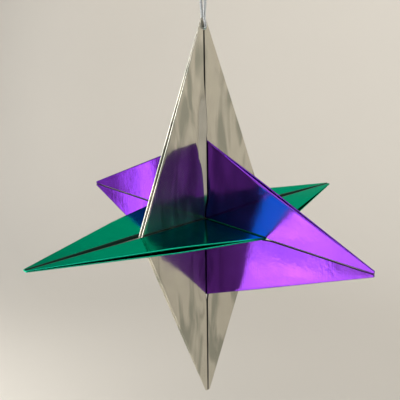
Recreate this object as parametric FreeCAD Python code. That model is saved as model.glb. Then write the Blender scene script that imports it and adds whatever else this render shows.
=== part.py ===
import FreeCAD, Part
import math
import os

from FreeCAD import Vector

# Modular origami star: three rhombus plates of folded mirror paper that cross at right angles.
# Each rhombus is two half diamonds laid fold to fold along its long axis.
# Each half diamond is one square of paper: all four rims are folded in, then it is closed on its diagonal.
# Frame: origin at the middle of the star, +Z up, +X and +Y along the long axes of two plates.
# All lengths are in millimetres.

# Paper
SQUARE = 150.0  # side of the square that each half is folded from
PAPER = 0.18  # thickness of the mirror paper
LAYER_GAP = 0.02  # air between two layers that lie on each other
FLAP_AIR = 0.02  # from the innermost layer to the middle of the half diamond

# Seams, from the middle of a seam to the long fold of each half
SEAT = 0.08  # air between two plates where they cross
TIP_SEAM = 0.06  # where the two halves lie fold to fold
SEAM_CLOSES = {"silver": 14.0, "purple": 14.0, "green": 48.0}  # length of the gap past the crossing plate

# Half thickness of a half diamond at the rim, outside to middle
BELLY_RIM = {"silver": 1.60, "purple": 1.40, "green": 1.60}  # where the rim arches out most
PRESSED = 0.05  # more than the layers need, at an obtuse corner that is pressed flat
HEM_SPRING = {"silver": 0.32, "purple": 0.03, "green": 0.05}  # a hem springs open to this much more radius

# Outline of a half diamond
TIP_WIDTH = 1.4  # blunt end of each tip
SILVER_BLUNT = 1.6  # the silver tips are pushed in by this much
HEM_LEAST = 0.6  # turned-in width at the corner where a flap begins
HEM_CHORDS = 4  # flats round a hem
FOLD_CHORDS = 8  # flats round the long fold
FLAT = 0.0001  # a facet is flat when its corners lie this near to one plane

# Hanging cord
CORD_DIAMETER = 1.6
CORD_SIDES = 10  # flats round the cord
CORD_HOLE_GAP = 0.04  # air round the cord in its hole
HOLE_SIDES = 16  # flats round the hole
HOLE_BELOW_TIP = 5.0  # from the upper tip to the middle of the hole
KNOT_RADIUS = 2.7
KNOT_HEIGHT = 4.6
KNOT_BOTTOM = 118.0  # height where the strands end, above the middle of the star
KNOT_GAP = 0.05  # air between the ends of the strands and the flat underside of the knot

# Worked out from the square: the long diagonal is the long axis, and the rims lie at 22.5 degrees to it.
LONG_HALF = SQUARE / math.sqrt(2)
RIM_ANGLE = math.radians(22.5)
SHORT_HALF = LONG_HALF * math.tan(RIM_ANGLE)
FLAP_TOE = LONG_HALF * (1 - 2 * math.tan(RIM_ANGLE))

# A hem round nothing, and a hem round one more layer
SLIM_HEM = PAPER + LAYER_GAP / 2
WIDE_HEM = 1.5 * PAPER + LAYER_GAP

# Half thickness at the long fold: three layers, and two layers at a tip
FOLD = 3 * PAPER + 2 * LAYER_GAP + FLAP_AIR
TIP_FOLD = 2 * PAPER + LAYER_GAP + FLAP_AIR

# Half thickness at the rim of the obtuse corner
CORNER_RIM = {"silver": BELLY_RIM["silver"], "purple": FOLD + PRESSED, "green": FOLD + PRESSED}

# The plate that crosses each seam holds its two halves apart.
CROSSED_BY = {"silver": "purple", "purple": "green", "green": "silver"}


class Section:
    """One cross-section of a half diamond, at the place u on the long axis.

    v runs from the seam to the rim, and w is square to the plate. The hem is the radius that its layers need,
    and the spring is what it opens beyond that.
    """

    def __init__(self, u, seam, fold, rim, width, hem, spring, flap_start=None):
        self.u = u
        self.fold = fold
        self.rim = rim
        self.width = width
        self.layers = 2 * hem
        self.spring = spring
        self.hem = hem + spring
        self.fold_middle = seam + fold
        self.hem_middle = width - self.hem
        self.flap_start = flap_start or self.fold_middle + LAYER_GAP

    def face(self, v, depth=0.0):
        """w of the layer that lies depth below the outer face of the upper panel."""
        along = (v - self.fold_middle) / (self.width - self.fold_middle)
        return self.fold + (self.rim - self.fold) * along - depth

    def flap(self, v, depth):
        """Point on a flap, which leaves the panel towards its hem. The depth is that at the long fold."""
        along = (v - self.fold_middle) / (self.hem_middle - self.fold_middle)
        return (v, self.face(v, depth + 2 * self.spring * along))

    def hem_round(self, radius):
        """Half turn of the upper hem, from the panel over the rim to the flap."""
        centre = (self.hem_middle, self.face(self.hem_middle, self.hem))
        return half_turn(centre, radius, 90.0, -90.0, HEM_CHORDS)

    def upper_outside(self):
        """From the raw edge of the upper flap to the start of the long fold, on the mirror side."""
        return [self.flap(self.flap_start, self.layers)] + self.hem_round(self.hem)[::-1]

    def upper_inside(self):
        """The same way on the back of the paper."""
        return [self.flap(self.flap_start, self.layers - PAPER)] + self.hem_round(self.hem - PAPER)[::-1]

    def fold_round(self, radius):
        """Half turn of the long fold, from the upper to the lower panel."""
        return half_turn((self.fold_middle, 0.0), radius, 90.0, 270.0, FOLD_CHORDS)

    def ribbon(self):
        """The whole sheet: flap, hem, panel, long fold, panel, hem, flap, and back on the other side."""
        outside = self.upper_outside() + self.fold_round(self.fold) + below(self.upper_outside())
        inside = self.upper_inside() + self.fold_round(self.fold - PAPER) + below(self.upper_inside())
        return [Vector(self.u, v, w) for v, w in outside + inside[::-1]]

    def tail(self, side):
        """The end of the first flap, between the panel and the second flap and clear of the wider hem."""
        top, bottom = self.layers - PAPER, self.layers
        near, far = self.flap_start, self.hem_middle - (WIDE_HEM - SLIM_HEM)
        corners = [(near, top), (far, top), (far, bottom), (near, bottom)]
        return [Vector(self.u, v, side * w) for v, w in (self.flap(*corner) for corner in corners)]


def half_turn(centre, radius, first, last, chords):
    """Points of a half circle in the section, from one angle in degrees to the other."""
    steps = [math.radians(first + (last - first) * i / chords) for i in range(chords + 1)]
    return [(centre[0] + radius * math.cos(a), centre[1] + radius * math.sin(a)) for a in steps]


def below(points):
    """The lower layer, which mirrors the upper one and runs the other way."""
    return [(v, -w) for v, w in reversed(points)]


def skin(rings):
    """Solid sheet from one section to the next, creased where a facet would twist: paper doesn't stretch."""
    faces = [flat_face(rings[0]), flat_face(rings[-1])]
    for ring, following in zip(rings, rings[1:]):
        ends = zip(ring, ring[1:] + ring[:1], following[1:] + following[:1], following)
        for corners in ends:
            faces.extend(facets(corners))
    return Part.Solid(Part.Shell(faces))


def facets(corners):
    """One flat facet through four corners, or two with a crease from the corner that stands out most."""
    first = max(range(4), key=lambda i: abs(corners[i].z))
    a, b, c, d = corners[first:] + corners[:first]
    normal = (b - a).cross(d - a)
    if abs((c - a).dot(normal)) < FLAT * normal.Length:
        return [flat_face(corners)]
    return [flat_face((a, b, c)), flat_face((a, c, d))]


def flat_face(corners):
    return Part.Face(Part.makePolygon([*corners, corners[0]]))


def on_line(place, knots):
    """Value at a place on the straight lines through the knots."""
    for (start, low), (end, high) in zip(knots, knots[1:]):
        if place <= end:
            return low + (high - low) * (place - start) / (end - start)
    return knots[-1][1]


def half_diamond(colour):
    """One folded square, lying in its own frame: long axis on U, obtuse corner towards V."""
    long_half = LONG_HALF - (SILVER_BLUNT if colour == "silver" else 0.0)
    seam_closed = SHORT_HALF + SEAM_CLOSES[colour]
    belly, corner = BELLY_RIM[colour], CORNER_RIM[colour]
    seams = [
        (0.0, FOLD + SEAT),
        (SHORT_HALF, CORNER_RIM[CROSSED_BY[colour]] + SEAT),
        (seam_closed, TIP_SEAM),
        (long_half, TIP_SEAM),
    ]
    folds = [(0.0, FOLD), (SHORT_HALF, FOLD), (long_half, TIP_FOLD)]
    widths = [(0.0, SHORT_HALF), (long_half, TIP_WIDTH)]
    wide_hems = [(0.0, WIDE_HEM), (SHORT_HALF, WIDE_HEM), (long_half, SLIM_HEM)]
    springs = [(0.0, HEM_SPRING[colour]), (SHORT_HALF, HEM_SPRING[colour]), (long_half, 0.0)]
    slope = (belly - FOLD) / (on_line(SHORT_HALF, widths) - seams[1][1] - FOLD)

    def section(u, slim, flap_start=None):
        """Past the belly of its rims a panel is flat, so it keeps its slope."""
        far = abs(u)
        seam, fold, width = (on_line(far, knots) for knots in (seams, folds, widths))
        rim = on_line(far, [(0.0, corner), (SHORT_HALF, belly)])
        if far > SHORT_HALF:
            rim = fold + slope * (width - seam - fold)
        hem = SLIM_HEM if slim else on_line(far, wide_hems)
        return Section(u, seam, fold, rim, width, hem, on_line(far, springs), flap_start)

    corner_flap = SHORT_HALF - WIDE_HEM - HEM_SPRING[colour] - HEM_LEAST
    first_arm = [section(u, True) for u in (-long_half, -seam_closed, -SHORT_HALF, 0.0)]
    second_arm = [section(0.0, False, corner_flap)]
    second_arm += [section(u, False) for u in (FLAP_TOE, SHORT_HALF, seam_closed, long_half)]
    pieces = [skin([s.ribbon() for s in arm]) for arm in (first_arm, second_arm)]
    for side in (1, -1):
        pieces.append(skin([section(u, True).tail(side) for u in (0.0, FLAP_TOE, SHORT_HALF)]))
    return pieces[0].multiFuse(pieces[1:]).removeSplitter()


def place(shape, along, across):
    """Turn a half diamond so that U runs along one axis of the star and V runs across it."""
    square_to = along.cross(across)
    turn = FreeCAD.Matrix(
        along.x, across.x, square_to.x, 0,
        along.y, across.y, square_to.y, 0,
        along.z, across.z, square_to.z, 0,
        0, 0, 0, 1,
    )
    placed = shape.copy()
    placed.Placement = FreeCAD.Placement(turn)
    return placed


X_AXIS, Y_AXIS, Z_AXIS = Vector(1, 0, 0), Vector(0, 1, 0), Vector(0, 0, 1)

HALVES = {
    "silver_left_half": ("silver", -Z_AXIS, -Y_AXIS),
    "silver_right_half": ("silver", -Z_AXIS, Y_AXIS),
    "purple_upper_half": ("purple", X_AXIS, Z_AXIS),
    "purple_lower_half": ("purple", X_AXIS, -Z_AXIS),
    "green_front_half": ("green", -Y_AXIS, X_AXIS),
    "green_back_half": ("green", -Y_AXIS, -X_AXIS),
}

HOLE_HEIGHT = LONG_HALF - SILVER_BLUNT - HOLE_BELOW_TIP


def cord_hole():
    """Hole through the silver seam, square to the silver plate."""
    radius = (CORD_DIAMETER / 2 + CORD_HOLE_GAP) / math.cos(math.pi / HOLE_SIDES)
    length = 8 * FOLD
    circle = Part.Circle(Vector(-length / 2, 0, HOLE_HEIGHT), X_AXIS, radius)
    corners = [circle.value(2 * math.pi * i / HOLE_SIDES) for i in range(HOLE_SIDES)]
    return flat_face(corners).extrude(X_AXIS * length)


# Route of the cord, in front of the silver plate: from the knot down to the hole.
# It goes through the hole and comes up behind the plate by the same points, mirrored.
FRONT_ROUTE = [
    Vector(0.90, 0.75, KNOT_BOTTOM),
    Vector(0.92, 0.70, 111.8),
    Vector(1.30, -0.60, 105.0),
    Vector(1.85, -0.25, 101.6),
    Vector(1.70, 0.00, HOLE_HEIGHT),
]


def rounded_route(points):
    """Straight runs joined by tangent arcs that are as large as their two runs allow."""
    edges = []
    start = points[0]
    for before, corner, after in zip(points, points[1:], points[2:]):
        run_in, run_out = corner - before, after - corner
        turn = run_in.getAngle(run_out)
        shorter = min(run_in.Length, run_out.Length)
        cut = 0.45 * shorter
        radius = cut / math.tan(turn / 2)
        toward, away = run_in.normalize(), run_out.normalize()
        arc_start, arc_end = corner - toward * cut, corner + away * cut
        inward = (away - toward).normalize()
        middle = corner + inward * (radius / math.cos(turn / 2) - radius)
        edges.append(Part.LineSegment(start, arc_start).toShape())
        edges.append(Part.Arc(arc_start, middle, arc_end).toShape())
        print("cord arc radius", round(radius, 2), "turn", round(math.degrees(turn), 1))
        start = arc_end
    edges.append(Part.LineSegment(start, points[-1]).toShape())
    return Part.Wire(edges)


def hanging_cord():
    """Round tube along the doubled cord."""
    back_route = [Vector(-p.x, -p.y, p.z) for p in reversed(FRONT_ROUTE)]
    route = rounded_route(FRONT_ROUTE + back_route)
    first = FRONT_ROUTE[1] - FRONT_ROUTE[0]
    circle = Part.Circle(FRONT_ROUTE[0], first, CORD_DIAMETER / 2)
    corners = [circle.value(2 * math.pi * i / CORD_SIDES) for i in range(CORD_SIDES)]
    tube = route.makePipeShell([Part.makePolygon(corners + corners[:1])], True, False)
    section = CORD_SIDES / 2 * (CORD_DIAMETER / 2) ** 2 * math.sin(2 * math.pi / CORD_SIDES)
    share = tube.Volume / section / route.Length
    print("cord length", round(route.Length, 2), "volume share", round(share, 4))
    return tube


def cord_knot():
    """Knot that closes the doubled cord, with a flat underside where the two strands enter."""
    bottom = KNOT_BOTTOM + KNOT_GAP
    knot = Part.makeCylinder(KNOT_RADIUS, KNOT_HEIGHT, Vector(0, 0, bottom))
    top_edges = [edge for edge in knot.Edges if edge.BoundBox.ZMin > bottom + KNOT_HEIGHT / 2]
    return knot.makeFillet(0.45 * KNOT_HEIGHT, top_edges)


def main():
    os.makedirs("parts", exist_ok=True)
    sheets = {colour: half_diamond(colour) for colour in CORNER_RIM}
    hole = cord_hole()
    nodes = {}
    for name, (colour, along, across) in HALVES.items():
        half = place(sheets[colour], along, across)
        if colour == "silver":
            half = half.cut(hole)
        nodes[name] = half
    nodes["hanging_cord"] = hanging_cord()
    nodes["cord_knot"] = cord_knot()
    for name, shape in nodes.items():
        box = shape.BoundBox
        size = [round(v, 2) for v in (box.XLength, box.YLength, box.ZLength)]
        print(name, shape.isValid(), len(shape.Solids), round(shape.Volume, 1), size)
        solid = shape.Solids[0]
        solid.exportStep(f"parts/{name}.step")


main()
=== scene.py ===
import math

import bmesh
import bpy
from mathutils import Matrix, Vector, noise


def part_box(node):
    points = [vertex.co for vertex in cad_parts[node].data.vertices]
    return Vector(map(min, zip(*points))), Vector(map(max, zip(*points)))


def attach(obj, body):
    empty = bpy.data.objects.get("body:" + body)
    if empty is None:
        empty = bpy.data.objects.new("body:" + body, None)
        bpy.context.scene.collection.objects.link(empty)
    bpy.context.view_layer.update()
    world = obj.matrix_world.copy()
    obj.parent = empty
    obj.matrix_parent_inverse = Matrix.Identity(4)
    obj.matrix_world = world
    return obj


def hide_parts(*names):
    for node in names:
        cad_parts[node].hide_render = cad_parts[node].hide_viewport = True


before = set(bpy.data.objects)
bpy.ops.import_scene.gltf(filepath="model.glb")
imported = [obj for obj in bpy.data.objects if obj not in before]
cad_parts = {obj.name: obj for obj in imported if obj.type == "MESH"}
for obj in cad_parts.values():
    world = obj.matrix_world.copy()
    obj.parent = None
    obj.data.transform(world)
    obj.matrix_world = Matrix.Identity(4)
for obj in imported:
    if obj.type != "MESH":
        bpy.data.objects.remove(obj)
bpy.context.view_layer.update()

bl_info = {
    "name": "Modular Origami Star",
    "version": (1, 0, 0),
    "blender": (4, 5, 0),
    "location": "View3D > Sidebar > Star",
    "description": "Dresses a hanging star of folded mirror paper and lights it",
    "category": "Object",
}

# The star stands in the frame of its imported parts: metres, +Z up, origin in the middle.
MM = 0.001


def linear(hex_colour):
    """Turn an sRGB hex colour to linear red, green and blue."""
    parts = [int(hex_colour[i : i + 2], 16) / 255 for i in (1, 3, 5)]
    return tuple(p / 12.92 if p <= 0.04045 else ((p + 0.055) / 1.055) ** 2.4 for p in parts)


# Folded paper, in millimetres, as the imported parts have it
SQUARE = 150.0
LONG_HALF = SQUARE / math.sqrt(2)
SHORT_HALF = LONG_HALF * math.tan(math.radians(22.5))
FLAP_TOE = LONG_HALF * (1 - 2 * math.tan(math.radians(22.5)))
PAPER = 0.18
LAYER_GAP = 0.02
FLAP_AIR = 0.02
SEAT = 0.08
TIP_SEAM = 0.06
SEAM_CLOSES = {"silver": 4.0, "purple": 2.5, "green": 56.0}
FOLD_SPRING = {"silver": 0.0, "purple": 0.0, "green": 0.45}
# Share of its round depth that the long fold keeps
FOLD_FLAT = {"silver": 0.6, "purple": 0.6, "green": 1.0}
# More air beside the seam in the middle of the star, and between the fold edges elsewhere
MIDDLE_AIR = {"silver": 0.10, "purple": 0.07, "green": 0.05}
SEAM_SHADOW = {"silver": 0.10, "purple": 0.07, "green": 0.05}
# Width of the painted seam shade on a panel, beside the long fold
PAINTED_SHADE_WIDTH = {"silver": 0.12, "purple": 0.10, "green": 0.40}
BELLY_RIM = {"silver": 1.60, "purple": 1.40, "green": 1.60}
PRESSED = 0.05
HEM_SPRING = {"silver": 0.32, "purple": 0.03, "green": 0.05}
TIP_WIDTH = 1.4
SILVER_BLUNT = 1.6
HEM_LEAST = 0.6
SLIM_HEM = PAPER + LAYER_GAP / 2
WIDE_HEM = 1.5 * PAPER + LAYER_GAP
FOLD = 3 * PAPER + 2 * LAYER_GAP + FLAP_AIR
TIP_FOLD = 2 * PAPER + LAYER_GAP + FLAP_AIR
CORNER_RIM = {"silver": BELLY_RIM["silver"], "purple": FOLD + PRESSED, "green": FOLD + PRESSED}
CROSSED_BY = {"silver": "purple", "purple": "green", "green": "silver"}

# Soft buckles, in millimetres: the clear length at the crossing and at the seam and rim, and the sizes of
# a buckle and of its ripple. The ripple is a share of the buckle's height.
CLEAR_MIDDLE, CLEAR_ARM, CLEAR_SEAM, CLEAR_RIM = 2.0, 16.0, 9.0, 5.0
BUCKLE_SIZE = (30.0, 24.0)
RIPPLE_SIZE = (11.0, 16.0)
RIPPLE_SHARE = 0.16
# Share of each colour's buckles. The right silver half lies smoother.
BUCKLE_SHARE = {"silver": 1.5, "purple": 0.5, "green": 0.5}
SMOOTH_SHARE = 0.3
# Shoulder of the left silver half: its height and reach, and the heights between which it runs
SILVER_SHOULDER = (2.3, 5.2, 2.0, 78.0)
NO_SHOULDER = (0.0, 1.0, 0.0, 1.0)

# Hanging cord, in millimetres: its plies, its hole and the points of its route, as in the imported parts
CORD_DIAMETER = 1.6
PLIES = 3
HOLE_RADIUS = 0.86
PUNCH_LENGTH = 8.0
KNOT_POINTS = 24
HOLE_HEIGHT = LONG_HALF - SILVER_BLUNT - 5.0
CORD_TOP = 118.0
FRONT_ROUTE = [
    (0.90, 0.75, CORD_TOP),
    (0.92, 0.70, 111.8),
    (1.30, -0.60, 105.0),
    (1.85, -0.25, 101.6),
    (1.70, 0.00, HOLE_HEIGHT),
]

# Camera, fitted to the tips and corners in the photograph. Places are in lengths of half a long axis.
CAMERA_PLACE = (2.344, -2.107, 1.016)
CAMERA_FORWARD = (-0.7176, 0.6399, -0.2751)
CAMERA_ROLL = -0.75
CAMERA_FOCAL_PX = 651.0
FRAME_PX = 400.0
OPTIC_AXIS_PX = (202.8, 197.3)

# Stage, in metres
FLOOR_HEIGHT = -0.24
FLOOR_RADIUS = 0.64
BACKDROP_RADIUS = 1.5
BACKDROP_HEIGHT = 1.1
BACKDROP_MIDDLE = 86.0  # degrees round from +X

# Mesh fineness
ARM_STATIONS = 64
PANEL_STEPS = 26
FOLD_STEPS = 10
HEM_STEPS = 6
FLAP_STEPS = 5

X_AXIS, Y_AXIS, Z_AXIS = Vector((1, 0, 0)), Vector((0, 1, 0)), Vector((0, 0, 1))
HALVES = {
    "silver_left_half": ("silver", -Z_AXIS, -Y_AXIS),
    "silver_right_half": ("silver", -Z_AXIS, Y_AXIS),
    "purple_upper_half": ("purple", X_AXIS, Z_AXIS),
    "purple_lower_half": ("purple", X_AXIS, -Z_AXIS),
    "green_front_half": ("green", -Y_AXIS, X_AXIS),
    "green_back_half": ("green", -Y_AXIS, -X_AXIS),
}


def add(tree, kind, settings=None, links=None, inputs=None):
    """Add one node with its settings, the values of its inputs and the sockets that feed it."""
    node = tree.nodes.new(kind)
    for name, value in (settings or {}).items():
        setattr(node, name, value)
    for name, value in (inputs or {}).items():
        node.inputs[name].default_value = value
    for name, socket in (links or {}).items():
        tree.links.new(socket, node.inputs[name])
    return node


def new_material(name):
    """Empty node material and its output node."""
    material = bpy.data.materials.new(name)
    material.use_nodes = True
    tree = material.node_tree
    tree.nodes.clear()
    return material, tree, tree.nodes.new("ShaderNodeOutputMaterial")


def mirror_paper(name, tint, haze, veil, dulled):
    """Mirror paper: a thin metallised film on paper, rolled smooth. It gives a tinted mirror with a faint haze,
    hairline scratches along the fold and the soft grain of the paper under the film."""
    material, tree, output = new_material(name)
    place = add(tree, "ShaderNodeTexCoord").outputs["Object"]
    # Haze lies in patches about 25 mm wide.
    patches = add(
        tree, "ShaderNodeTexNoise", links={"Vector": place}, inputs={"Scale": 38.0, "Detail": 2.0, "Roughness": 0.5}
    )
    rough = add(
        tree,
        "ShaderNodeMapRange",
        links={"Value": patches.outputs["Fac"]},
        inputs={"From Min": 0.35, "From Max": 0.75, "To Min": haze, "To Max": haze * 2.1},
    )
    # Hairline scratches, drawn about 0.5 mm wide and 12 mm long so that they show.
    stretched = add(
        tree,
        "ShaderNodeMapping",
        links={"Vector": place},
        inputs={"Scale": (1900.0, 1500.0, 80.0), "Rotation": (0.2, 0.1, 0.3)},
    )
    scratches = add(
        tree, "ShaderNodeTexNoise", links={"Vector": stretched.outputs["Vector"]}, inputs={"Scale": 1.0, "Detail": 2.0}
    )
    # The paper under the film is a little uneven, in spots about 3 mm wide.
    grain = add(tree, "ShaderNodeTexNoise", links={"Vector": place}, inputs={"Scale": 330.0, "Detail": 3.0})
    scratch_bump = add(
        tree,
        "ShaderNodeBump",
        links={"Height": scratches.outputs["Fac"]},
        inputs={"Strength": 0.06, "Distance": 0.0002},
    )
    grain_bump = add(
        tree,
        "ShaderNodeBump",
        links={"Height": grain.outputs["Fac"], "Normal": scratch_bump.outputs["Normal"]},
        inputs={"Strength": 0.10, "Distance": 0.0003},
    )
    # Duller streaks run lengthwise, about 8 mm wide and 40 mm long.
    drawn = add(tree, "ShaderNodeMapping", links={"Vector": place}, inputs={"Scale": (30.0, 120.0, 26.0)})
    streaks = add(
        tree,
        "ShaderNodeTexNoise",
        links={"Vector": drawn.outputs["Vector"]},
        inputs={"Scale": 1.0, "Detail": 2.0, "Distortion": 0.6},
    )
    streak = add(
        tree,
        "ShaderNodeMapRange",
        links={"Value": streaks.outputs["Fac"]},
        inputs={"From Min": 0.48, "From Max": 0.62, "To Min": 0.0, "To Max": dulled},
    )
    # The film is a touch paler where it has been handled.
    worn = add(
        tree,
        "ShaderNodeMix",
        settings={"data_type": "RGBA"},
        links={"Factor": scratches.outputs["Fac"]},
        inputs={"A": (*tint, 1.0), "B": (*[min(1.0, c * 1.12 + 0.01) for c in tint], 1.0)},
    )
    shade = add(
        tree,
        "ShaderNodeMix",
        settings={"data_type": "RGBA"},
        links={"Factor": streak.outputs["Result"], "A": worn.outputs["Result"]},
        inputs={"B": (tint[0] * 0.36, tint[1] * 0.42, tint[2] * 0.40, 1.0)},
    )
    # The clear lacquer over the film turns a little white at a low angle.
    edge = (*[0.65 * c + 0.35 for c in tint], 1.0)
    surface = add(
        tree,
        "ShaderNodeBsdfPrincipled",
        links={
            "Base Color": shade.outputs["Result"],
            "Roughness": rough.outputs["Result"],
            "Normal": grain_bump.outputs["Normal"],
        },
        inputs={"Metallic": 1.0, "Specular Tint": edge},
    )
    # Worn and wrinkled film scatters a pale veil, more in some patches than in others.
    dull = add(
        tree,
        "ShaderNodeBsdfPrincipled",
        links={"Base Color": shade.outputs["Result"], "Normal": grain_bump.outputs["Normal"]},
        inputs={"Metallic": 1.0, "Roughness": 0.5, "Specular Tint": edge},
    )
    share = add(
        tree,
        "ShaderNodeMapRange",
        links={"Value": patches.outputs["Fac"]},
        inputs={"From Min": 0.3, "From Max": 0.7, "To Min": veil * 0.4, "To Max": veil * 1.6},
    )
    mixed = add(
        tree,
        "ShaderNodeMixShader",
        links={0: share.outputs["Result"], 1: surface.outputs["BSDF"], 2: dull.outputs["BSDF"]},
    )
    tree.links.new(mixed.outputs["Shader"], output.inputs["Surface"])
    return material


def painted_seam_shade(name, tint):
    """Painted seam shade for the film on a sharp fold: a dark, dull coat that stands in for the shade in the seam."""
    material, tree, output = new_material(name)
    # Near-black, dull coat: painted shade in the seam
    surface = add(
        tree,
        "ShaderNodeBsdfPrincipled",
        inputs={"Base Color": (*[c * 0.05 for c in tint], 1.0), "Roughness": 0.4, "Specular IOR Level": 0.15},
    )
    tree.links.new(surface.outputs["BSDF"], output.inputs["Surface"])
    return material


def metallic_thread(name, tint):
    """Metallised yarn: flat film strips wound on a core. It gives small bright and dark glints along each ply."""
    material, tree, output = new_material(name)
    place = add(tree, "ShaderNodeTexCoord").outputs["Object"]
    # Film strips about 0.4 mm wide, drawn a little coarse so that they show.
    strips = add(tree, "ShaderNodeTexNoise", links={"Vector": place}, inputs={"Scale": 2400.0, "Detail": 2.0})
    shade = add(
        tree,
        "ShaderNodeMix",
        settings={"data_type": "RGBA"},
        links={"Factor": strips.outputs["Fac"]},
        inputs={"A": (*[c * 0.45 for c in tint], 1.0), "B": (*tint, 1.0)},
    )
    bump = add(
        tree, "ShaderNodeBump", links={"Height": strips.outputs["Fac"]}, inputs={"Strength": 0.5, "Distance": 0.0002}
    )
    surface = add(
        tree,
        "ShaderNodeBsdfPrincipled",
        links={"Base Color": shade.outputs["Result"], "Normal": bump.outputs["Normal"]},
        inputs={"Metallic": 0.85, "Roughness": 0.32},
    )
    tree.links.new(surface.outputs["BSDF"], output.inputs["Surface"])
    return material


def studio_paint(name, colour):
    """Matt emulsion on smooth board, for the floor and the backdrop."""
    material, tree, output = new_material(name)
    place = add(tree, "ShaderNodeTexCoord").outputs["Object"]
    mottle = add(tree, "ShaderNodeTexNoise", links={"Vector": place}, inputs={"Scale": 3.0, "Detail": 3.0})
    shade = add(
        tree,
        "ShaderNodeMix",
        settings={"data_type": "RGBA"},
        links={"Factor": mottle.outputs["Fac"]},
        inputs={"A": (*colour, 1.0), "B": (*[c * 0.94 for c in colour], 1.0)},
    )
    surface = add(
        tree, "ShaderNodeBsdfPrincipled", links={"Base Color": shade.outputs["Result"]}, inputs={"Roughness": 0.9}
    )
    tree.links.new(surface.outputs["BSDF"], output.inputs["Surface"])
    return material


def mesh_object(name, mesh):
    """Object at the origin that shows the mesh."""
    made = bpy.data.objects.new(name, mesh)
    bpy.context.scene.collection.objects.link(made)
    return made


def baked(source, name):
    """Plain mesh object from an object with modifiers. The source is removed."""
    graph = bpy.context.evaluated_depsgraph_get()
    graph.update()
    mesh = bpy.data.meshes.new_from_object(source.evaluated_get(graph), depsgraph=graph)
    mesh.name = name
    bpy.data.objects.remove(source)
    return mesh_object(name, mesh)


def blend_in(share):
    """Ease from 0 to 1."""
    share = max(0.0, min(1.0, share))
    return share * share * (3 - 2 * share)


def half_turn(centre, radius, first, last, steps):
    """Points of a half circle in a section, from one angle in degrees to the other."""
    turns = [math.radians(first + (last - first) * i / steps) for i in range(steps + 1)]
    return [(centre[0] + radius * math.cos(a), centre[1] + radius * math.sin(a)) for a in turns]


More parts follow.
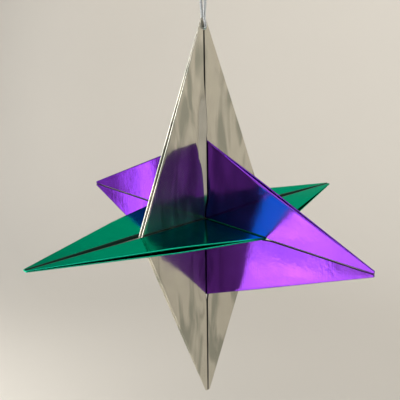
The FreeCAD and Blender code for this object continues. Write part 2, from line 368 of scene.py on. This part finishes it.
class HalfDiamond:
    """Folded square of mirror paper, in its own frame and in millimetres: u along the long axis,
    v from the seam to the rim and w square to the plate."""

    def __init__(self, name, colour, buckle, shoulder):
        self.seed = 7.0 * list(HALVES).index(name)
        self.long_half = LONG_HALF - (SILVER_BLUNT if colour == "silver" else 0.0)
        self.seam_closed = SHORT_HALF + SEAM_CLOSES[colour]
        self.middle_seam = FOLD + SEAT + MIDDLE_AIR[colour]
        self.belly_seam = CORNER_RIM[CROSSED_BY[colour]] + SEAT + SEAM_SHADOW[colour]
        self.corner, self.belly, self.spring = CORNER_RIM[colour], BELLY_RIM[colour], HEM_SPRING[colour]
        self.belly_fold = FOLD + FOLD_SPRING[colour]
        self.seam_shadow = SEAM_SHADOW[colour]
        self.flat = FOLD_FLAT[colour]
        self.painted_shade_width = PAINTED_SHADE_WIDTH[colour]
        self.buckle = buckle
        self.shoulder = shoulder

    def on_line(self, u, middle, belly, tip):
        """Value at u on the straight lines through the middle, the belly and the tip."""
        far = abs(u)
        if far <= SHORT_HALF:
            return middle + (belly - middle) * far / SHORT_HALF
        return belly + (tip - belly) * (far - SHORT_HALF) / (self.long_half - SHORT_HALF)

    def width(self, u):
        return SHORT_HALF + (TIP_WIDTH - SHORT_HALF) * abs(u) / self.long_half

    def seam(self, u):
        """Half the gap between the long folds. The crossing plate holds it open."""
        far = abs(u)
        if far <= SHORT_HALF:
            return self.middle_seam + (self.belly_seam - self.middle_seam) * far / SHORT_HALF
        share = min(1.0, (far - SHORT_HALF) / (self.seam_closed - SHORT_HALF))
        closed = TIP_SEAM + self.seam_shadow * blend_in((self.long_half - far) / 12.0)
        return self.belly_seam + (closed - self.belly_seam) * share

    def fold(self, u):
        return self.on_line(u, FOLD, self.belly_fold, TIP_FOLD)

    def rim(self, u):
        """Half thickness at the rim. It swells softly to the belly, and the panels are flat past it."""
        far = abs(u)
        if far <= SHORT_HALF:
            return self.corner + (self.belly - self.corner) * blend_in(far / SHORT_HALF)
        slope = (self.belly - self.belly_fold) / (self.width(SHORT_HALF) - self.belly_seam - self.belly_fold)
        fold = self.fold(u)
        return fold + slope * (self.width(u) - self.seam(u) - fold)

    def hem(self, u):
        """Radius that the layers of the hem need, and what it springs open beyond that."""
        layers = SLIM_HEM if u < 0 else self.on_line(u, WIDE_HEM, WIDE_HEM, SLIM_HEM)
        return layers, self.on_line(u, self.spring, self.spring, 0.0)

    def wave(self, u, v, side):
        """Soft buckles of the paper, none where plates cross or at the seam and hem."""
        width = self.width(u)
        clear = blend_in((abs(u) - CLEAR_MIDDLE) / CLEAR_ARM)
        clear = clear * blend_in(v / CLEAR_SEAM) * blend_in((width - v) / CLEAR_RIM)
        place = Vector((u / BUCKLE_SIZE[0], v / BUCKLE_SIZE[1], self.seed + 3.0 * side))
        ripple = Vector((u / RIPPLE_SIZE[0], v / RIPPLE_SIZE[1], self.seed + 5.0 * side))
        return clear * (self.buckle * noise.noise(place) + RIPPLE_SHARE * self.buckle * noise.noise(ripple))

    def ridge(self, u, v, seam):
        """Soft shoulder beside the seam, where the thick fold is held apart."""
        height, reach, first, last = self.shoulder
        along = blend_in((-u - first) / 12.0) * blend_in((last + u) / 25.0)
        near = max(0.0, 1 - (v - seam) / (reach * (0.35 + 0.65 * along)))
        return height * along * near

    def section(self, u):
        """Ring of points round the whole sheet at u."""
        seam, fold, rim, width = self.seam(u), self.fold(u), self.rim(u), self.width(u)
        layers, spring = self.hem(u)
        hem = layers + spring
        fold_middle, hem_middle = seam + self.flat * fold, width - hem
        # Strip beside the long fold that takes the painted seam shade
        painted_strip = min(self.painted_shade_width, 0.3 * (hem_middle - fold_middle))
        flap_end = fold_middle + LAYER_GAP
        if 0 <= u < FLAP_TOE:
            start = SHORT_HALF - hem - HEM_LEAST
            flap_end = start + (flap_end - start) * u / FLAP_TOE

        def face(v, depth):
            return fold + (rim - fold) * (v - fold_middle) / (width - fold_middle) - depth

        def layer(near, far, depth, opening, steps):
            """Points on a panel or flap, which opens away from the panel towards its hem."""
            points = []
            for i in range(steps + 1):
                v = near + (far - near) * i / steps
                points.append((v, face(v, depth + 2 * opening * (v - fold_middle) / (hem_middle - fold_middle))))
            return points

        def skin(inner, side):
            """One face of the paper, from the raw edge of the flap to the start of the long fold."""
            radius = hem - PAPER if inner else hem
            flap_depth = 2 * layers - (PAPER if inner else 0.0)
            turn = half_turn((hem_middle, face(hem_middle, hem)), radius, -90.0, 90.0, HEM_STEPS)
            path = layer(flap_end, hem_middle, flap_depth, spring, FLAP_STEPS)[:-1] + turn
            path += layer(hem_middle, fold_middle + painted_strip, PAPER if inner else 0.0, 0.0, PANEL_STEPS)[1:]
            return [(v, side * (w + self.wave(u, v, side) + self.ridge(u, v, seam))) for v, w in path]

        def round_fold(radius):
            depth = self.flat * fold - (fold - radius)
            turn = half_turn((0.0, 0.0), 1.0, 90.0, 270.0, FOLD_STEPS)
            edge = [(fold_middle + depth * v, radius * w) for v, w in turn]
            return [(v, w * (1 + self.ridge(u, v, seam) / fold)) for v, w in edge]

        outside = skin(False, 1) + round_fold(fold) + skin(False, -1)[::-1]
        inside = skin(True, 1) + round_fold(fold - PAPER) + skin(True, -1)[::-1]
        return [(u, v, w) for v, w in outside + inside[::-1]]

    def stations(self):
        """Places along the long axis, closer together at the tips and at the obtuse corner."""
        arm = [0.5 - 0.5 * math.cos(math.pi * i / ARM_STATIONS) for i in range(ARM_STATIONS + 1)]
        first = [-self.long_half + (self.long_half - 0.02) * share for share in arm]
        second = [0.02 + (self.long_half - 0.02) * share for share in arm]
        return first + second

    def mesh(self, name, along, across):
        """Closed mesh of the sheet, placed in the star."""
        rings = [self.section(u) for u in self.stations()]
        count = len(rings[0])
        turn = Matrix((along, across, along.cross(across))).transposed()
        points = [turn @ Vector(p) * MM for ring in rings for p in ring]
        faces = []
        # The faces on the round of the long fold and on the strip beside it take material 1, the painted seam shade.
        first_painted_face = FLAP_STEPS + HEM_STEPS + PANEL_STEPS
        painted_faces = range(first_painted_face, first_painted_face + FOLD_STEPS + 2)
        film = []
        for k in range(len(rings) - 1):
            for i in range(count):
                j = (i + 1) % count
                faces.append((k * count + i, k * count + j, (k + 1) * count + j, (k + 1) * count + i))
                film.append(1 if i in painted_faces else 0)
        half = count // 2
        for base, flip in ((0, True), ((len(rings) - 1) * count, False)):
            for i in range(half - 1):
                cap = (base + i, base + i + 1, base + count - 2 - i, base + count - 1 - i)
                faces.append(cap[::-1] if flip else cap)
        mesh = bpy.data.meshes.new(name)
        mesh.from_pydata(points, [], faces)
        for face, index in zip(mesh.polygons, film):
            face.material_index = index
        work = bmesh.new()
        work.from_mesh(mesh)
        bmesh.ops.recalc_face_normals(work, faces=work.faces)
        work.to_mesh(mesh)
        work.free()
        mesh.shade_smooth()
        mesh.set_sharp_from_angle(angle=math.radians(50))
        return mesh


def twisted_plies():
    """Node tree that winds plies of yarn round a curve."""
    tree = bpy.data.node_groups.new("twisted_plies", "GeometryNodeTree")
    ports = tree.interface
    ports.new_socket("Geometry", in_out="INPUT", socket_type="NodeSocketGeometry")
    for name, value in (("Ply Radius", 0.0004), ("Lay Radius", 0.0004), ("Pitch", 0.004), ("Step", 0.00025)):
        socket = ports.new_socket(name, in_out="INPUT", socket_type="NodeSocketFloat")
        socket.default_value = value
    ports.new_socket("Yarn", in_out="INPUT", socket_type="NodeSocketMaterial")
    ports.new_socket("Geometry", in_out="OUTPUT", socket_type="NodeSocketGeometry")
    given = tree.nodes.new("NodeGroupInput").outputs
    result = tree.nodes.new("NodeGroupOutput")
    line = add(
        tree,
        "GeometryNodeResampleCurve",
        settings={"mode": "LENGTH"},
        links={"Curve": given["Geometry"], "Length": given["Step"]},
    )
    far = add(tree, "GeometryNodeSplineParameter").outputs["Length"]
    turns = add(tree, "ShaderNodeMath", settings={"operation": "DIVIDE"}, links={0: far, 1: given["Pitch"]})
    normal = add(tree, "GeometryNodeInputNormal").outputs["Normal"]
    tangent = add(tree, "GeometryNodeInputTangent").outputs["Tangent"]
    across = add(
        tree, "ShaderNodeVectorMath", settings={"operation": "CROSS_PRODUCT"}, links={0: tangent, 1: normal}
    )
    ring = add(
        tree, "GeometryNodeCurvePrimitiveCircle", links={"Radius": given["Ply Radius"]}, inputs={"Resolution": 10}
    )
    joined = add(tree, "GeometryNodeJoinGeometry")
    for ply in range(PLIES):
        angle = add(
            tree,
            "ShaderNodeMath",
            settings={"operation": "MULTIPLY_ADD"},
            links={0: turns.outputs[0]},
            inputs={1: 2 * math.pi, 2: 2 * math.pi * ply / PLIES},
        )
        offsets = []
        for operation, axis in (("COSINE", normal), ("SINE", across.outputs[0])):
            part = add(tree, "ShaderNodeMath", settings={"operation": operation}, links={0: angle.outputs[0]})
            reach = add(
                tree,
                "ShaderNodeMath",
                settings={"operation": "MULTIPLY"},
                links={0: part.outputs[0], 1: given["Lay Radius"]},
            )
            offsets.append(
                add(
                    tree,
                    "ShaderNodeVectorMath",
                    settings={"operation": "SCALE"},
                    links={0: axis, "Scale": reach.outputs[0]},
                )
            )
        offset = add(
            tree,
            "ShaderNodeVectorMath",
            settings={"operation": "ADD"},
            links={0: offsets[0].outputs[0], 1: offsets[1].outputs[0]},
        )
        wound = add(
            tree,
            "GeometryNodeSetPosition",
            links={"Geometry": line.outputs["Curve"], "Offset": offset.outputs[0]},
        )
        tube = add(
            tree,
            "GeometryNodeCurveToMesh",
            links={"Curve": wound.outputs["Geometry"], "Profile Curve": ring.outputs["Curve"]},
            inputs={"Fill Caps": True},
        )
        tree.links.new(tube.outputs["Mesh"], joined.inputs["Geometry"])
    real = add(tree, "GeometryNodeRealizeInstances", links={"Geometry": joined.outputs["Geometry"]})
    dressed = add(
        tree, "GeometryNodeSetMaterial", links={"Geometry": real.outputs["Geometry"], "Material": given["Yarn"]}
    )
    tree.links.new(dressed.outputs["Geometry"], result.inputs["Geometry"])
    return tree


def route_object(name, points, closed=False):
    """NURBS line through the route, in metres."""
    curve = bpy.data.curves.new(name, "CURVE")
    curve.dimensions = "3D"
    curve.resolution_u = 24
    spline = curve.splines.new("NURBS")
    spline.points.add(len(points) - 1)
    for point, place in zip(spline.points, points):
        point.co = (*[c * MM for c in place], 1.0)
    spline.order_u = 3
    if closed:
        spline.use_cyclic_u = True
    else:
        spline.use_endpoint_u = True
    return mesh_object(name, curve)


def line_points(route):
    """Points along the smooth line of a route."""
    graph = bpy.context.evaluated_depsgraph_get()
    mesh = bpy.data.meshes.new_from_object(route.evaluated_get(graph), depsgraph=graph)
    points = [v.co.copy() for v in mesh.vertices]
    bpy.data.meshes.remove(mesh)
    return points


def wind(route, name, yarn, diameter, pitch):
    """Yarn plies wound round a route, as a plain mesh object."""
    winding = route.modifiers.new("plies", "NODES")
    winding.node_group = twisted_plies()
    # A ply and the circle that its middle follows, for plies that touch and fill the diameter
    ply = diameter / 2 / (1 + 1 / math.sin(math.pi / PLIES))
    values = {"Ply Radius": ply, "Lay Radius": diameter / 2 - ply, "Pitch": pitch, "Yarn": yarn}
    for item in winding.node_group.interface.items_tree:
        if item.in_out == "INPUT" and item.name in values:
            winding[item.identifier] = values[item.name]
    made = baked(route, name)
    made.data.shade_smooth()
    return made


class StarSettings(bpy.types.PropertyGroup):
    """Sizes and colours of the star and its stage."""

    silver: bpy.props.FloatVectorProperty(
        name="Silver", description="Tint of the silver mirror paper", subtype="COLOR", default=linear("#D9D5C8")
    )
    purple: bpy.props.FloatVectorProperty(
        name="Purple", description="Tint of the purple mirror paper", subtype="COLOR", default=linear("#7E3AC4")
    )
    green: bpy.props.FloatVectorProperty(
        name="Green", description="Tint of the green mirror paper", subtype="COLOR", default=linear("#0BB38F")
    )
    yarn: bpy.props.FloatVectorProperty(
        name="Yarn", description="Tint of the metallised cord", subtype="COLOR", default=linear("#E9EDF0")
    )
    floor: bpy.props.FloatVectorProperty(
        name="Floor", description="Colour of the floor and backdrop", subtype="COLOR", default=linear("#D6D1C8")
    )
    haze: bpy.props.FloatProperty(
        name="Haze", description="Roughness of the clearest mirror paper", default=0.075, min=0.0, max=1.0
    )
    buckle: bpy.props.FloatProperty(
        name="Buckle", description="Height of the soft buckles, in millimetres", default=0.20, min=0.0, max=1.0
    )
    cord_diameter: bpy.props.FloatProperty(
        name="Cord", description="Diameter of the cord", default=CORD_DIAMETER * MM, unit="LENGTH", precision=4
    )
    cord_pitch: bpy.props.FloatProperty(
        name="Lay", description="Length of one turn of the plies", default=4.5 * MM, unit="LENGTH", precision=4
    )


class STAR_OT_camera(bpy.types.Operator):
    """Set the camera at the viewing angle of the photograph"""

    bl_idname = "star.camera"
    bl_label = "Camera"

    def execute(self, context):
        data = bpy.data.cameras.new("camera")
        camera = mesh_object("camera", data)
        back = -Vector(CAMERA_FORWARD).normalized()
        right = Z_AXIS.cross(back).normalized()
        up = back.cross(right)
        roll = math.radians(CAMERA_ROLL)
        level_right = right * math.cos(roll) + up * math.sin(roll)
        level_up = up * math.cos(roll) - right * math.sin(roll)
        turn = Matrix((level_right, level_up, back)).transposed().to_4x4()
        camera.matrix_world = Matrix.Translation([c * LONG_HALF * MM for c in CAMERA_PLACE]) @ turn
        data.sensor_width = 36.0
        data.lens = CAMERA_FOCAL_PX / FRAME_PX * 36.0
        data.shift_x = (FRAME_PX / 2 - OPTIC_AXIS_PX[0]) / FRAME_PX
        data.shift_y = (OPTIC_AXIS_PX[1] - FRAME_PX / 2) / FRAME_PX
        data.clip_start = 0.01
        context.scene.camera = camera
        context.scene.view_settings.view_transform = "Standard"
        return {"FINISHED"}


class STAR_OT_cord(bpy.types.Operator):
    """Wind the doubled hanging cord and its knot"""

    bl_idname = "star.cord"
    bl_label = "Hanging Cord"

    def execute(self, context):
        settings = context.scene.star
        yarn = metallic_thread("metallised_yarn", settings.yarn)
        back = [(-x, -y, z) for x, y, z in reversed(FRONT_ROUTE)]
        route = route_object("cord_route", FRONT_ROUTE + back)
        path = line_points(route)
        cord = wind(route, "hanging_cord_yarn", yarn, settings.cord_diameter, settings.cord_pitch)
        knot = wind(
            route_object("knot_route", self.knot_points(), closed=True),
            "cord_knot_yarn",
            yarn,
            settings.cord_diameter,
            settings.cord_pitch,
        )
        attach(cord, "root")
        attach(knot, "root")
        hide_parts("hanging_cord")
        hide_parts("cord_knot")
        return {"FINISHED"}

    def knot_points(self):
        """Overhand knot, pulled up small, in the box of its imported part."""
        low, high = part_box("cord_knot")
        middle = [(a + b) / 2 / MM for a, b in zip(low, high)]
        cord = CORD_DIAMETER / 2
        # The line of the knot swings out to three times this width.
        wide = ((high[0] - low[0]) / 2 / MM - cord) / 3.0
        tall = (high[2] - low[2]) / 2 / MM - cord
        points = []
        for i in range(KNOT_POINTS):
            t = 2 * math.pi * i / KNOT_POINTS
            points.append(
                (
                    middle[0] + wide * (math.sin(t) + 2 * math.sin(2 * t)),
                    middle[1] + wide * (math.cos(t) - 2 * math.cos(2 * t)),
                    middle[2] - tall * math.sin(3 * t),
                )
            )
        return points


def fold_halves(colour, film, painted_shade, buckle):
    """The two halves of one plate, dressed in their mirror paper, with painted seam shade on the long fold."""
    for name, (its_colour, along, across) in HALVES.items():
        if its_colour != colour:
            continue
        shoulder = SILVER_SHOULDER if name == "silver_left_half" else NO_SHOULDER
        calm = SMOOTH_SHARE if name == "silver_right_half" else 1.0
        sheet = HalfDiamond(name, colour, buckle * BUCKLE_SHARE[colour] * calm, shoulder)
        half = mesh_object(name + "_paper", sheet.mesh(name + "_paper", along, across))
        half.data.materials.append(film)
        # Second material: painted seam shade on the long fold and beside it
        half.data.materials.append(painted_shade)
        if colour == "silver":
            half = pierce(half)
        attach(half, "root")
        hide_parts(name)


def pierce(half):
    """Cut the hole of the cord through the seam near the upper tip."""
    name = half.name
    mesh = bpy.data.meshes.new("cord_hole")
    work = bmesh.new()
    lying = Matrix.Translation((0, 0, HOLE_HEIGHT * MM)) @ Matrix.Rotation(math.pi / 2, 4, "Y")
    bmesh.ops.create_cone(
        work,
        cap_ends=True,
        segments=24,
        radius1=HOLE_RADIUS * MM,
        radius2=HOLE_RADIUS * MM,
        depth=PUNCH_LENGTH * MM,
        matrix=lying,
    )
    work.to_mesh(mesh)
    work.free()
    punch = mesh_object("cord_hole", mesh)
    cut = half.modifiers.new("cord_hole", "BOOLEAN")
    cut.operation = "DIFFERENCE"
    cut.solver = "EXACT"
    cut.object = punch
    made = baked(half, name)
    made.name = name
    bpy.data.objects.remove(punch)
    return made


class STAR_OT_silver(bpy.types.Operator):
    """Fold the two halves of the silver plate"""

    bl_idname = "star.silver"
    bl_label = "Silver Plate"

    def execute(self, context):
        settings = context.scene.star
        paper = mirror_paper("silver_mirror_paper_film", settings.silver, settings.haze * 1.3, 0.16, 0.60)
        # Painted shade for the seam along the long fold
        painted_strip = painted_seam_shade("silver_painted_seam_shade", settings.silver)
        fold_halves("silver", paper, painted_strip, settings.buckle)
        return {"FINISHED"}


class STAR_OT_purple(bpy.types.Operator):
    """Fold the two halves of the purple plate"""

    bl_idname = "star.purple"
    bl_label = "Purple Plate"

    def execute(self, context):
        settings = context.scene.star
        paper = mirror_paper("purple_mirror_paper_film", settings.purple, settings.haze, 0.06, 0.12)
        # Painted shade for the seam along the long fold
        painted_strip = painted_seam_shade("purple_painted_seam_shade", settings.purple)
        fold_halves("purple", paper, painted_strip, settings.buckle)
        return {"FINISHED"}


class STAR_OT_green(bpy.types.Operator):
    """Fold the two halves of the green plate"""

    bl_idname = "star.green"
    bl_label = "Green Plate"

    def execute(self, context):
        settings = context.scene.star
        paper = mirror_paper("green_mirror_paper_film", settings.green, settings.haze, 0.08, 0.08)
        # Painted shade for the seam along the long fold
        painted_strip = painted_seam_shade("green_painted_seam_shade", settings.green)
        fold_halves("green", paper, painted_strip, settings.buckle)
        return {"FINISHED"}


def soft_box(name, place, aim, size, power, colour):
    """Rectangular studio light that faces a point. Views of the star don't show it."""
    data = bpy.data.lights.new(name, "AREA")
    data.shape = "RECTANGLE"
    data.size, data.size_y = size
    data.energy = power
    data.color = colour
    lamp = mesh_object(name, data)
    lamp.location = place
    lamp.rotation_euler = (Vector(aim) - Vector(place)).to_track_quat("-Z", "Y").to_euler()
    lamp.visible_camera = False
    return lamp


class STAR_OT_stage(bpy.types.Operator):
    """Lay the pale floor and backdrop and set the soft lights"""

    bl_idname = "star.stage"
    bl_label = "Stage"

    def execute(self, context):
        paint = studio_paint("pale_emulsion", context.scene.star.floor)
        sweep = mesh_object("floor_sweep", self.sweep_mesh())
        sweep.data.materials.append(paint)
        # The key light makes a bright pool on the floor at the front left, which the purple plate mirrors.
        pool = (-0.30, -0.46, FLOOR_HEIGHT)
        key = soft_box("key_light", (-0.55, -0.70, 0.70), pool, (0.45, 0.45), 3.0, (1.0, 0.99, 0.97))
        key.data.spread = math.radians(46)
        # Two low panels stand on the floor. The left arm of the purple plate mirrors the narrow one as a band.
        panel = (1.0, 0.98, 1.0)
        soft_box("right_panel", (-0.323, -0.458, -0.172), (0, 0, -0.172), (0.13, 0.125), 0.072, panel)
        soft_box("left_panel", (-0.536, -0.350, -0.165), (0, 0, -0.165), (0.042, 0.14), 0.055, panel)
        # The silver left rim mirrors the window light below and the rim light above, and looks white.
        daylight = (0.97, 0.98, 1.0)
        soft_box("window_light", (-0.48, -0.87, 0.38), (0, 0, 0), (0.77, 0.52), 5.6, daylight)
        soft_box("rim_light", (-0.795, -0.477, 0.47), (0, 0, 0), (0.36, 0.30), 1.1, daylight)
        # The wall light hangs at the right and lights the backdrop.
        middle = (-0.35, 1.1, 0.15)
        wall = soft_box("wall_light", (0.45, 0.30, 1.15), middle, (1.2, 1.2), 9.5, (1.0, 0.985, 0.96))
        wall.data.spread = math.radians(130)
        context.scene.world = self.room()
        return {"FINISHED"}

    def room(self):
        """Dim even room, dimmer above the horizon on the side that faces the plates."""
        world = bpy.data.worlds.new("studio")
        world.use_nodes = True
        tree = world.node_tree
        backing = tree.nodes["Background"]
        backing.inputs["Color"].default_value = (*linear("#D8D4CC"), 1.0)
        way = add(tree, "ShaderNodeTexCoord").outputs["Generated"]
        toward = add(
            tree,
            "ShaderNodeVectorMath",
            settings={"operation": "DOT_PRODUCT"},
            links={0: way},
            inputs={1: Vector((0.66, -0.62, 0.42))},
        )
        level = add(
            tree,
            "ShaderNodeMapRange",
            settings={"interpolation_type": "SMOOTHSTEP"},
            links={"Value": toward.outputs["Value"]},
            inputs={"From Min": 0.55, "From Max": 0.92, "To Min": 0.75, "To Max": 0.30},
        )
        # The ceiling is dim, so the rims that face up look dark.
        height = add(tree, "ShaderNodeSeparateXYZ", links={0: way}).outputs["Z"]
        ceiling = add(
            tree,
            "ShaderNodeMapRange",
            settings={"interpolation_type": "SMOOTHSTEP"},
            links={"Value": height},
            inputs={"From Min": 0.45, "From Max": 0.75, "To Min": 1.0, "To Max": 0.15},
        )
        strength = add(
            tree,
            "ShaderNodeMath",
            settings={"operation": "MULTIPLY"},
            links={0: level.outputs["Result"], 1: ceiling.outputs["Result"]},
        )
        tree.links.new(strength.outputs[0], backing.inputs["Strength"])
        return world

    def sweep_mesh(self):
        """Round floor that widens and rises softly into a backdrop behind the star."""
        rings, steps = 30, 96
        points = [(0.0, 0.0, FLOOR_HEIGHT)]
        for r in range(1, rings + 1):
            for s in range(steps):
                angle = 2 * math.pi * s / steps
                behind = blend_in(max(0.0, math.cos(angle - math.radians(BACKDROP_MIDDLE))) * 2.4)
                out = (FLOOR_RADIUS + (BACKDROP_RADIUS - FLOOR_RADIUS) * behind) * r / rings
                rise = blend_in((out - 0.45) / (BACKDROP_RADIUS - 0.45)) * BACKDROP_HEIGHT * behind
                points.append((out * math.cos(angle), out * math.sin(angle), FLOOR_HEIGHT + rise))
        faces = [(0, 1 + s, 1 + (s + 1) % steps) for s in range(steps)]
        for r in range(rings - 1):
            for s in range(steps):
                a, b = 1 + r * steps + s, 1 + r * steps + (s + 1) % steps
                faces.append((a, a + steps, b + steps, b))
        mesh = bpy.data.meshes.new("floor_sweep")
        mesh.from_pydata(points, [], faces)
        mesh.shade_smooth()
        return mesh


class STAR_PT_panel(bpy.types.Panel):
    """Lists the sizes, the colours and the steps"""

    bl_idname = "STAR_PT_panel"
    bl_label = "Origami Star"
    bl_space_type = "VIEW_3D"
    bl_region_type = "UI"
    bl_category = "Star"

    def draw(self, context):
        for name in StarSettings.__annotations__:
            self.layout.prop(context.scene.star, name)
        for step in STEPS:
            self.layout.operator(step.bl_idname)


STEPS = (STAR_OT_camera, STAR_OT_cord, STAR_OT_silver, STAR_OT_purple, STAR_OT_green, STAR_OT_stage)
CLASSES = (StarSettings, *STEPS, STAR_PT_panel)


def register():
    for made in CLASSES:
        bpy.utils.register_class(made)
    bpy.types.Scene.star = bpy.props.PointerProperty(type=StarSettings)


def unregister():
    del bpy.types.Scene.star
    for made in reversed(CLASSES):
        bpy.utils.unregister_class(made)


def main():
    register()
    bpy.ops.star.camera()
    bpy.ops.star.cord()
    bpy.ops.star.silver()
    bpy.ops.star.purple()
    bpy.ops.star.green()
    bpy.ops.star.stage()


if __name__ == "__main__":
    main()
